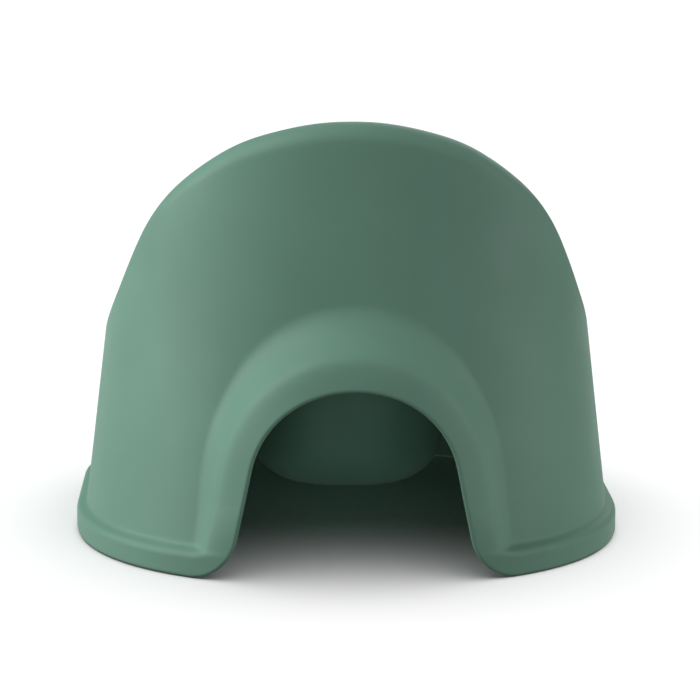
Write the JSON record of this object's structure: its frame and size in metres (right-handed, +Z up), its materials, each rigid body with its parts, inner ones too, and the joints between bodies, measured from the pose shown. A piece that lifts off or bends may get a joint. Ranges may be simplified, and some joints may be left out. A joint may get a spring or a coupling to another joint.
{
  "type": "child potty chair",
  "caption": "Moulded child's potty chair with leaning backrest, hand arch at the back, lift-out inner pot with splash guard and push-in rubber feet.",
  "frame": {"origin": "on the floor plane, under the middle of the base band's bounding box", "axes": "+Z up, +Y towards the front (where the child's legs go), -Y towards the back with the hand arch, +X to the right seen from behind"},
  "size_m": [0.3003, 0.3, 0.233],
  "materials": {
    "shell": "satin sage-green moulded plastic",
    "pot": "smooth sage-green moulded plastic",
    "foot_rubber": "matt black rubber"
  },
  "bodies": {
    "chair": {"shell": "shell", "foot_rear_left": "foot_rubber", "foot_rear_right": "foot_rubber", "foot_front_left": "foot_rubber", "foot_front_right": "foot_rubber"},
    "pot": {"inner_pot": "pot"}
  },
  "joints": [
    {"name": "pot_lift", "type": "slide", "parent": "chair", "child": "pot", "axis": [0, 0, 1], "range_m": [0, 0.24]}
  ]
}
